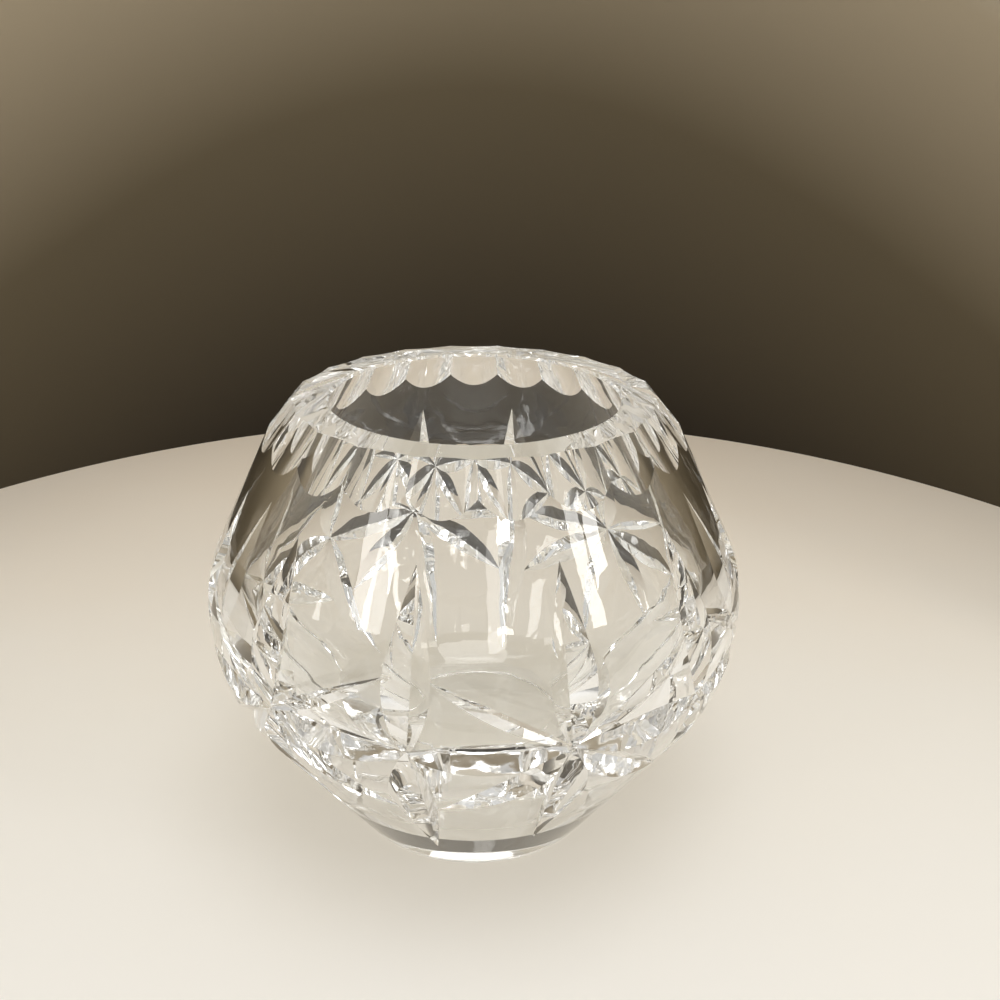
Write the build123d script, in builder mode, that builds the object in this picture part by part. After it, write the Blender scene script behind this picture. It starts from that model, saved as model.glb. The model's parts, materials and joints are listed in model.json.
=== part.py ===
from build123d import *
import math
import os

os.makedirs("parts", exist_ok=True)

# Rose bowl in clear lead crystal: one blown lump, ground at the mouth and cut by hand.
# Millimetres and degrees. The bowl stands on z = 0, its axis is Z, and the front faces -Y.

# The blown shape, outside: a cone up from the foot, a belly of two arcs that meet at the star
# band, and a straight shoulder up to the lip
bowl_height = 97.0
belly_radius = 57.0
lip_radius = 39.06
foot_radius = 29.3
lip_rounding = 2.2
foot_bevel = 1.2

# The blown shape, inside
mouth_radius = 29.3
mouth_bevel = 0.7
belly_wall = 8.0
floor_height = 14.0
heel_bevel = 9.0

# The underside: a shallow ground recess inside the ring that the bowl stands on
recess_radius = 23.6
recess_depth = 1.2

# Radii of the belly arcs, as shares of the radius that the belly has on their side of the wall
upper_arc_share = 0.4982
lower_arc_share = 0.4842
inner_arc_share = 0.4980

# Heights of the arcs' centres, as shares of the bowl's height
upper_arc_height_share = 0.5588
lower_arc_height_share = 0.5186
inner_arc_height_share = 0.5650

# The star band: twelve stars on one level, every second one a full star
star_count = 12
full_star_count = 6
star_height_share = 0.5134
first_star = -72.3
star_overlap = 1.0
mitre_half_angle = 53.0

# Depth of each kind of mitre cut where it is deepest
spear_depth = 3.3
ring_depth = 2.7
rising_depth = 1.1
falling_depth = 2.6
full_leaf_depth = 2.6
plain_leaf_depth = 2.8

# Where the mitre cuts end, their heights as shares of the bowl's height
spear_tip_share = 0.8412
rising_end_share = 0.6598
rising_end_bearing = 26.0
falling_end_share = 0.3381
falling_end_bearing = 26.0
full_leaf_end_share = 0.1464
plain_leaf_end_share = 0.1113

# The flutes under the lip; two of them meet over every second full star
flute_count = 21
flute_height = 8.7
flute_depth = 2.2
flute_hollow_radius = 42.0

# How far a cutting wheel stands clear of the glass, and how far it runs past the ends of a cut
tool_clearance = 3.0
tool_overrun_share = 0.25


def touching_lean(corner, centre, arc_radius, side):
    """Lean of the straight wall from a corner that touches an arc; side is 1 above it, -1 below."""
    reach = math.hypot(corner[0] - centre[0], corner[1] - centre[1])
    bearing = math.atan2(corner[1] - centre[1], corner[0] - centre[0])
    return math.degrees(bearing - side * math.acos(arc_radius / reach))


# Outside, the cone and the shoulder run from the foot and the lip and touch the belly arcs
star_height = bowl_height * star_height_share
upper_arc_height = bowl_height * upper_arc_height_share
lower_arc_height = bowl_height * lower_arc_height_share
upper_arc_radius = belly_radius * upper_arc_share
lower_arc_radius = belly_radius * lower_arc_share
upper_centre = belly_radius - upper_arc_radius
band_radius = upper_centre + math.sqrt(upper_arc_radius**2 - (star_height - upper_arc_height) ** 2)
lower_centre = band_radius - math.sqrt(lower_arc_radius**2 - (star_height - lower_arc_height) ** 2)
upper_band_lean = math.degrees(math.asin((star_height - upper_arc_height) / upper_arc_radius))
lower_band_lean = math.degrees(math.asin((star_height - lower_arc_height) / lower_arc_radius))
shoulder_lean = touching_lean(
    (lip_radius, bowl_height), (upper_centre, upper_arc_height), upper_arc_radius, 1
)
cone_lean = -touching_lean((foot_radius, 0), (lower_centre, lower_arc_height), lower_arc_radius, -1)
shoulder_start = upper_arc_height + upper_arc_radius * math.sin(math.radians(shoulder_lean))
cone_top = lower_arc_height - lower_arc_radius * math.sin(math.radians(cone_lean))

# Inside, the shoulder runs from the edge of the mouth and touches the belly arc, and the wall
# below leans as much the other way
inner_belly_radius = belly_radius - belly_wall
inner_arc_radius = inner_belly_radius * inner_arc_share
inner_arc_height = bowl_height * inner_arc_height_share
inner_centre = inner_belly_radius - inner_arc_radius
inner_lean = touching_lean(
    (mouth_radius, bowl_height), (inner_centre, inner_arc_height), inner_arc_radius, 1
)
inner_cone_top = inner_arc_height - inner_arc_radius * math.sin(math.radians(inner_lean))
inner_cone_radius = inner_centre + inner_arc_radius * math.cos(math.radians(inner_lean))
inner_cone_fall = (inner_cone_top - floor_height) * math.tan(math.radians(inner_lean))
heel_corner_radius = inner_cone_radius - inner_cone_fall


def wall_lean(height):
    """Lean of the outer wall from the vertical, positive where it faces up."""
    if height < cone_top:
        return -cone_lean
    if height > shoulder_start:
        return shoulder_lean
    if height < star_height:
        return math.degrees(math.asin((height - lower_arc_height) / lower_arc_radius))
    return math.degrees(math.asin((height - upper_arc_height) / upper_arc_radius))


def wall_radius(height):
    """Radius of the outer wall before it is cut."""
    if height < cone_top:
        return foot_radius + height * math.tan(math.radians(cone_lean))
    if height > shoulder_start:
        return lip_radius + (bowl_height - height) * math.tan(math.radians(shoulder_lean))
    if height < star_height:
        return lower_centre + math.sqrt(lower_arc_radius**2 - (height - lower_arc_height) ** 2)
    return upper_centre + math.sqrt(upper_arc_radius**2 - (height - upper_arc_height) ** 2)


def wall_point(bearing, height):
    """Point of the uncut outer wall."""
    return Vector(wall_radius(height), 0, height).rotate(Axis.Z, bearing)


def wall_facing(bearing, height):
    """Direction in which the uncut outer wall faces."""
    return Vector(1, 0, 0).rotate(Axis.Y, -wall_lean(height)).rotate(Axis.Z, bearing)


def seat(start, end, outward):
    """Plane on the middle of a cut, X along the cut and Z out of the glass."""
    along = (end - start).normalized()
    out = (outward - along * outward.dot(along)).normalized()
    return Plane(origin=(start + end) * 0.5, x_dir=along, z_dir=out)


def section_plane(sag, radius, length):
    """Plane of a tool's section at one end of its cut, its centre and the angle to sweep."""
    side = -1 if sag > 0 else 1
    half_sector = math.degrees(math.asin(length * 0.5 / radius)) * (1 + tool_overrun_share)
    centre = Vector(0, 0, -sag - side * radius)
    start = Plane(origin=centre, x_dir=(0, 1, 0), z_dir=Vector(1, 0, 0).rotate(Axis.Y, -half_sector))
    return start, side * radius, Axis(centre, (0, 1, 0)), 2 * half_sector


def mitre_tool(sag, radius, depth, length):
    """Sharp-edged wheel for a hollow spine, or a sharp-edged ring for a spine that bulges."""
    reach = depth + tool_clearance
    half_width = reach * math.tan(math.radians(mitre_half_angle))
    start, edge, axle, sector = section_plane(sag, radius, length)
    with BuildPart() as tool:
        with BuildSketch(start):
            with BuildLine():
                Polyline((0, edge), (half_width, edge + reach), (-half_width, edge + reach), close=True)
            make_face()
        revolve(axis=axle, revolution_arc=sector)
    return tool.part


def wall_cut(bearings, heights, depth):
    """Seat and tool of a mitre cut between two points of the outer wall."""
    middle_bearing = sum(bearings) * 0.5
    middle_height = sum(heights) * 0.5
    start = wall_point(bearings[0], heights[0])
    end = wall_point(bearings[1], heights[1])
    plane = seat(start, end, wall_facing(middle_bearing, middle_height))
    bulge = (wall_point(middle_bearing, middle_height) - plane.origin).dot(plane.z_dir)
    sag = depth - bulge
    length = (end - start).length
    radius = (length**2 / 4 + sag**2) / (2 * abs(sag))
    return plane, mitre_tool(sag, radius, depth, length)


# Every cut that meets a star runs a little past its centre, as the wheel does
star_spacing = 360 / star_count
overlap_bearing = math.degrees(star_overlap / belly_radius)
spear_plane, spear_tool = wall_cut(
    (0, 0), (star_height - star_overlap, bowl_height * spear_tip_share), spear_depth
)
ring_plane, ring_tool = wall_cut(
    (-overlap_bearing, star_spacing + overlap_bearing), (star_height, star_height), ring_depth
)
rising_cuts = [
    wall_cut(
        (-side * overlap_bearing, side * rising_end_bearing),
        (star_height - star_overlap * 0.5, bowl_height * rising_end_share),
        rising_depth,
    )
    for side in (-1, 1)
]
falling_cuts = [
    wall_cut(
        (-side * overlap_bearing, side * falling_end_bearing),
        (star_height + star_overlap * 0.5, bowl_height * falling_end_share),
        falling_depth,
    )
    for side in (-1, 1)
]
full_leaf_plane, full_leaf_tool = wall_cut(
    (0, 0), (bowl_height * full_leaf_end_share, star_height + star_overlap), full_leaf_depth
)
plain_leaf_plane, plain_leaf_tool = wall_cut(
    (0, 0), (bowl_height * plain_leaf_end_share, star_height + star_overlap), plain_leaf_depth
)

# A flute is a straight, shallow hollow that starts from nothing on the shoulder and is deepest
# at the lip
flute_bottom = wall_point(0, bowl_height - flute_height)
flute_top = wall_point(0, bowl_height) - wall_facing(0, bowl_height) * flute_depth
flute_seat = seat(flute_bottom, flute_top, wall_facing(0, bowl_height))
flute_sweep = (flute_top - flute_bottom).length * 0.5 + tool_clearance
first_flute = first_star + 180 / flute_count
with BuildPart() as flute_tool:
    with BuildSketch(Plane.YZ):
        with Locations((0, flute_hollow_radius)):
            Circle(flute_hollow_radius)
    extrude(amount=flute_sweep, both=True)

with BuildPart() as glass_bowl:
    # Blown wall, turned about the axis, with its ground edges
    with BuildSketch(Plane.XZ) as wall_section:
        with BuildLine():
            cone = Line((foot_radius, 0), (wall_radius(cone_top), cone_top))
            lower_belly = CenterArc(
                (lower_centre, lower_arc_height),
                lower_arc_radius,
                -cone_lean,
                cone_lean + lower_band_lean,
            )
            upper_belly = CenterArc(
                (upper_centre, upper_arc_height),
                upper_arc_radius,
                upper_band_lean,
                shoulder_lean - upper_band_lean,
            )
            shoulder = Line(upper_belly @ 1, (lip_radius, bowl_height))
            lip = Line(shoulder @ 1, (mouth_radius, bowl_height))
            inner_belly = CenterArc(
                (inner_centre, inner_arc_height), inner_arc_radius, -inner_lean, 2 * inner_lean
            )
            inner_shoulder = Line(lip @ 1, inner_belly @ 1)
            inner_cone = Line(inner_belly @ 0, (heel_corner_radius, floor_height))
            Polyline(
                inner_cone @ 1,
                (0, floor_height),
                (0, recess_depth),
                (recess_radius - recess_depth, recess_depth),
                (recess_radius, 0),
                cone @ 0,
            )
        make_face()
        fillet(wall_section.vertices().sort_by_distance(shoulder @ 1)[0], lip_rounding)
        chamfer(wall_section.vertices().sort_by_distance(inner_cone @ 1)[0], heel_bevel)
        chamfer(wall_section.vertices().sort_by_distance(lip @ 1)[0], mouth_bevel)
        chamfer(wall_section.vertices().sort_by_distance(cone @ 0)[0], foot_bevel)
    revolve(axis=Axis.Z)

    # Flutes side by side under the lip
    with PolarLocations(0, flute_count, start_angle=first_flute):
        with Locations(flute_seat):
            add(flute_tool.part, mode=Mode.SUBTRACT)

    # A spear up from every star, and a leaf round to the next
    with PolarLocations(0, star_count, start_angle=first_star):
        with Locations(spear_plane):
            add(spear_tool, mode=Mode.SUBTRACT)
        with Locations(ring_plane):
            add(ring_tool, mode=Mode.SUBTRACT)

    # Full stars: two thin cuts rise and two broad ones fall, with a leaf between
    with PolarLocations(0, full_star_count, start_angle=first_star):
        with Locations(full_leaf_plane):
            add(full_leaf_tool, mode=Mode.SUBTRACT)
        for plane, tool in falling_cuts + rising_cuts:
            with Locations(plane):
                add(tool, mode=Mode.SUBTRACT)

    # Plain stars between them: only a leaf falls
    with PolarLocations(0, full_star_count, start_angle=first_star + star_spacing):
        with Locations(plain_leaf_plane):
            add(plain_leaf_tool, mode=Mode.SUBTRACT)

glass_bowl.part.label = "glass_bowl"
export_step(glass_bowl.part, "parts/glass_bowl.step")
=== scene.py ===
import math

import bpy
from mathutils import Matrix, Vector
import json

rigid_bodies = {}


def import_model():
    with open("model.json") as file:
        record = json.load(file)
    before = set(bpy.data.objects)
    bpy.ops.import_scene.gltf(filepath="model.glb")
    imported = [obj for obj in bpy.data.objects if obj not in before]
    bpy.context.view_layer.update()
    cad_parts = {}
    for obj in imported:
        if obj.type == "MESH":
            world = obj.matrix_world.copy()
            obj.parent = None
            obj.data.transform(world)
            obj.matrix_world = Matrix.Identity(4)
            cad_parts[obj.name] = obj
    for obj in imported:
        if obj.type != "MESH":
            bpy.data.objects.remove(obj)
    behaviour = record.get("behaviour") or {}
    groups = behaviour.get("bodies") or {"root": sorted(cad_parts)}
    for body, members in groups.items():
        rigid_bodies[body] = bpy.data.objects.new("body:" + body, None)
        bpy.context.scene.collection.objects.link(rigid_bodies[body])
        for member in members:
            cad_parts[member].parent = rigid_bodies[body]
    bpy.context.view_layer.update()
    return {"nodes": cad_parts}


for left_over in list(bpy.data.objects):
    bpy.data.objects.remove(left_over)
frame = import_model()
scene = bpy.context.scene

# Metres. The bowl stands on z = 0 and the viewer is on the -Y side.

# Camera, looking down into the bowl from the front
CAMERA_PLACE = Vector((0.0, -0.19559, 0.15957))
LOOK = Vector((0.02449835, 0.91445856, -0.40393736))
RIGHT = Vector((0.99969964, -0.02268591, 0.00927289))
UP = Vector((0.000684, 0.40404320, 0.91473965))
LENS_AND_SENSOR = 36
NEAREST_SEEN = 0.01
FARTHEST_SEEN = 20

# Crystal
CRYSTAL_COLOUR = (0.985, 0.99, 0.985, 1)
CRYSTAL_IOR = 1.54
SCUFFS_FULL_BELOW = 0.0002
SCUFFS_GONE_ABOVE = 0.0016
SCUFF_ROUGHNESS = 0.22
HAZE_ROUGHNESS = 0.012
RIPPLE_HEIGHT = 0.00006
FINE_RIPPLE_SHARE = 0.04
LIGHT_THROUGH_FACE_ON = (0.95, 0.945, 0.93)
LIGHT_THROUGH_EDGE_ON = (0.68, 0.66, 0.63)

# Floor and backdrop
FLOOR_LEVEL = -0.00004
FLOOR_RADIUS = 1.3
BACKDROP_RADIUS = 0.26
BACKDROP_HEIGHT = 0.6
BACKDROP_START = -8
BACKDROP_SWEEP = 196
STAGE_SIDES = 96

# Lamps: bearing from the viewer's side towards the right, elevation, distance, width, height, watts
LAMPS = {
    "ceiling": (20.0, 78.0, 1.0, 0.6, 0.6, 4.0),
    "window_right": (57.0, 24.0, 0.7, 0.085, 0.2, 0.65),
    "window_front": (8.7, 22.0, 0.8, 0.09, 0.1, 0.10),
    "bulb": (13.2, 25.5, 0.8, 0.09, 0.014, 0.12),
    "window_left": (-48.0, 21.0, 0.7, 0.11, 0.16, 0.34),
}
LAMP_TARGET = Vector((0.0, 0.0, 0.08))
LAMP_COLOUR = (1.0, 0.98, 0.95)
ROOM_STRENGTH = 0.85

# Reflections that are followed inside the glass
BOUNCES = 24


def make_camera():
    camera = bpy.data.objects.new("camera", bpy.data.cameras.new("camera"))
    camera.data.lens = LENS_AND_SENSOR
    camera.data.sensor_width = LENS_AND_SENSOR
    camera.data.clip_start = NEAREST_SEEN
    camera.data.clip_end = FARTHEST_SEEN
    rows = [(RIGHT[i], UP[i], -LOOK[i], CAMERA_PLACE[i]) for i in range(3)]
    camera.matrix_world = Matrix((*rows, (0, 0, 0, 1)))
    scene.collection.objects.link(camera)
    scene.camera = camera


class Nodes:
    """Short names for the nodes of one tree."""

    def __init__(self, tree):
        self.tree = tree
        self.made = tree.nodes

    def add(self, kind, **settings):
        node = self.made.new(kind)
        for name, value in settings.items():
            setattr(node, name, value)
        return node

    def feed(self, node, name, value):
        socket = node.inputs[name]
        if isinstance(value, bpy.types.NodeSocket):
            self.tree.links.new(value, socket)
        else:
            socket.default_value = value

    def math(self, operation, first, second, third=0.0):
        node = self.add("ShaderNodeMath", operation=operation)
        for index, value in enumerate((first, second, third)):
            self.feed(node, index, value)
        return node.outputs[0]

    def scaled(self, value, low, high, low_to=0.0, high_to=1.0):
        node = self.add("ShaderNodeMapRange", clamp=True)
        numbers = {"From Min": low, "From Max": high, "To Min": low_to, "To Max": high_to}
        for name, number in {"Value": value, **numbers}.items():
            self.feed(node, name, number)
        return node.outputs[0]

    def noise(self, where, scale, detail):
        node = self.add("ShaderNodeTexNoise")
        self.feed(node, "Vector", where)
        self.feed(node, "Scale", scale)
        self.feed(node, "Detail", detail)
        return node.outputs["Fac"]

    def ramp(self, value, stops):
        node = self.add("ShaderNodeValToRGB")
        elements = node.color_ramp.elements
        while len(elements) < len(stops):
            elements.new(0.5)
        for element, (place, colour) in zip(elements, stops):
            element.position = place
            element.color = (*colour, 1)
        self.feed(node, "Fac", value)
        return node.outputs["Color"]

    def place(self):
        """Place on the surface, whole and split into its three coordinates."""
        whole = self.add("ShaderNodeNewGeometry").outputs["Position"]
        split = self.add("ShaderNodeSeparateXYZ")
        self.feed(split, 0, whole)
        return whole, split.outputs


def new_material(name):
    material = bpy.data.materials.new(name)
    material.use_nodes = True
    material.node_tree.nodes.clear()
    return material, Nodes(material.node_tree)


def crystal_roughness(n, whole, split):
    """Scuffs on the ring that the bowl stands on, and a faint handling haze in soft patches."""
    scuff_height = n.scaled(split["Z"], SCUFFS_FULL_BELOW, SCUFFS_GONE_ABOVE, 1.0, 0.0)
    scratches = n.scaled(n.noise(whole, 900.0, detail=3.0), 0.35, 0.65, 0.25, 1.0)
    scuffs = n.math("MULTIPLY", scuff_height, scratches)
    haze = n.scaled(n.noise(whole, 55.0, detail=4.0), 0.5, 0.75)
    return n.math("MULTIPLY_ADD", scuffs, SCUFF_ROUGHNESS, n.math("MULTIPLY", haze, HAZE_ROUGHNESS))


def crystal_ripple(n, whole):
    """Slow waves that the polish leaves, with a finer ripple on them."""
    slow = n.noise(whole, 120.0, detail=1.0)
    fine = n.noise(whole, 520.0, detail=1.0)
    bump = n.add("ShaderNodeBump")
    n.feed(bump, "Strength", 1.0)
    n.feed(bump, "Distance", RIPPLE_HEIGHT)
    n.feed(bump, "Height", n.math("MULTIPLY_ADD", fine, FINE_RIPPLE_SHARE, slow))
    return bump.outputs["Normal"]


def crystal_shine_through(n, glass):
    """Light shines through the bowl, and less where its wall is met edge on."""
    edge = n.add("ShaderNodeLayerWeight")
    n.feed(edge, "Blend", 0.35)
    stops = [(0.0, LIGHT_THROUGH_FACE_ON), (1.0, LIGHT_THROUGH_EDGE_ON)]
    clear = n.add("ShaderNodeBsdfTransparent")
    n.feed(clear, "Color", n.ramp(edge.outputs["Facing"], stops))
    path = n.add("ShaderNodeLightPath")
    mix = n.add("ShaderNodeMixShader")
    n.feed(mix, 0, n.math("MAXIMUM", path.outputs["Is Shadow Ray"], path.outputs["Is Diffuse Ray"]))
    n.feed(mix, 1, glass.outputs[0])
    n.feed(mix, 2, clear.outputs[0])
    return mix.outputs[0]


def crystal_material():
    """Clear polished crystal. The foot ring is scuffed, and the polish is slightly wavy."""
    material, n = new_material("crystal_polished")
    out = n.add("ShaderNodeOutputMaterial")
    glass = n.add("ShaderNodeBsdfPrincipled")
    n.feed(glass, "Base Color", CRYSTAL_COLOUR)
    n.feed(glass, "Transmission Weight", 1.0)
    n.feed(glass, "IOR", CRYSTAL_IOR)
    n.feed(glass, "Metallic", 0.0)
    whole, split = n.place()
    n.feed(glass, "Roughness", crystal_roughness(n, whole, split))
    n.feed(glass, "Normal", crystal_ripple(n, whole))
    n.feed(out, "Surface", crystal_shine_through(n, glass))
    return material


def stage_material(name, roughness):
    """Plain opaque material, with its nodes and shader, for the floor and the backdrop."""
    material, n = new_material(name)
    out = n.add("ShaderNodeOutputMaterial")
    paint = n.add("ShaderNodeBsdfPrincipled")
    n.feed(paint, "Roughness", roughness)
    n.feed(out, "Surface", paint.outputs[0])
    return material, n, paint


def floor_material():
    """Plain pale floor, a little warmer towards the backdrop."""
    material, n, paint = stage_material("floor_cream", 0.6)
    n.feed(paint, "Specular IOR Level", 0.15)
    whole, split = n.place()
    back = n.math("MULTIPLY_ADD", n.noise(whole, 18.0, detail=3.0), 0.06, split["Y"])
    stops = [(0.0, (0.88, 0.875, 0.86)), (0.5, (0.88, 0.85, 0.79)), (1.0, (0.87, 0.77, 0.64))]
    n.feed(paint, "Base Color", n.ramp(n.scaled(back, -0.15, BACKDROP_RADIUS), stops))
    return material


def backdrop_material():
    """Taupe backdrop with painted light and shade: nearly black at its foot, paler upwards and to
    both sides.
    """
    material, n, paint = stage_material("backdrop_painted_light_and_shade", 0.9)
    split = n.place()[1]
    sideways = n.math("MULTIPLY", split["X"], split["X"])
    painted_light = n.math("MULTIPLY_ADD", sideways, 2.2, split["Z"])
    # Painted light and shade: dark near the floor, pale high up and towards the sides.
    stops = [
        (0.0, (0.018, 0.012, 0.005)),
        (0.4, (0.10, 0.078, 0.044)),
        (0.7, (0.36, 0.30, 0.21)),
        (1.0, (0.84, 0.80, 0.71)),
    ]
    n.feed(paint, "Base Color", n.ramp(n.scaled(painted_light, 0.02, 0.34), stops))
    return material


def make_stage_piece(name, points, faces, material):
    mesh = bpy.data.meshes.new(name)
    mesh.from_pydata(points, [], faces)
    mesh.materials.append(material)
    piece = bpy.data.objects.new(name, mesh)
    scene.collection.objects.link(piece)
    return piece


def ring_points(radius, level, start, sweep):
    """Points along an arc about the bowl's axis, one more than its sides."""
    turns = [math.radians(start + sweep * i / STAGE_SIDES) for i in range(STAGE_SIDES + 1)]
    return [(radius * math.cos(turn), radius * math.sin(turn), level) for turn in turns]


def make_stage():
    """A plain pale floor with a curved backdrop, whose light and shade are painted on, standing
    behind the bowl.
    """
    ground = ring_points(FLOOR_RADIUS, FLOOR_LEVEL, 0, 360)[:-1]
    make_stage_piece("floor", ground, [tuple(range(STAGE_SIDES))], floor_material())
    low = ring_points(BACKDROP_RADIUS, FLOOR_LEVEL, BACKDROP_START, BACKDROP_SWEEP)
    high = ring_points(BACKDROP_RADIUS, BACKDROP_HEIGHT, BACKDROP_START, BACKDROP_SWEEP)
    count = len(low)
    panels = [(i + 1, i, count + i, count + i + 1) for i in range(STAGE_SIDES)]
    backdrop = make_stage_piece("backdrop", low + high, panels, backdrop_material())
    backdrop.data.shade_smooth()


def make_world():
    """A pale room all round, darker towards its floor."""
    world = bpy.data.worlds.new("room")
    scene.world = world
    world.use_nodes = True
    n = Nodes(world.node_tree)
    n.made.clear()
    out = n.add("ShaderNodeOutputWorld")
    light = n.add("ShaderNodeBackground")
    split = n.add("ShaderNodeSeparateXYZ")
    n.feed(split, 0, n.add("ShaderNodeTexCoord").outputs["Generated"])
    stops = [
        (0.0, (0.36, 0.35, 0.33)),
        (0.30, (0.52, 0.51, 0.49)),
        (0.6, (0.70, 0.69, 0.67)),
        (1.0, (0.84, 0.83, 0.81)),
    ]
    n.feed(light, "Color", n.ramp(n.scaled(split.outputs["Z"], -0.2, 1.0), stops))
    n.feed(light, "Strength", ROOM_STRENGTH)
    n.feed(out, "Surface", light.outputs[0])


def make_lamp(name, bearing, elevation, distance, width, height, watts):
    """Soft lamp that faces the bowl and isn't seen by the camera."""
    data = bpy.data.lights.new(name, "AREA")
    data.shape = "RECTANGLE"
    data.size = width
    data.size_y = height
    data.energy = watts
    data.color = LAMP_COLOUR
    turn, rise = math.radians(bearing), math.radians(elevation)
    way = Vector((math.sin(turn) * math.cos(rise), -math.cos(turn) * math.cos(rise), math.sin(rise)))
    lamp = bpy.data.objects.new(name, data)
    lamp.location = LAMP_TARGET + way * distance
    lamp.rotation_euler = way.to_track_quat("Z", "Y").to_euler()
    lamp.visible_camera = False
    scene.collection.objects.link(lamp)


make_camera()
bowl = frame["nodes"]["glass_bowl"]
bowl.data.materials.clear()
bowl.data.materials.append(crystal_material())
make_stage()
make_world()
for lamp_name, lamp_sizes in LAMPS.items():
    make_lamp(lamp_name, *lamp_sizes)

scene.view_settings.view_transform = "Standard"
scene.cycles.max_bounces = BOUNCES
scene.cycles.glossy_bounces = BOUNCES
scene.cycles.transmission_bounces = BOUNCES
scene.cycles.transparent_max_bounces = BOUNCES
scene.cycles.caustics_refractive = False
scene.cycles.caustics_reflective = False
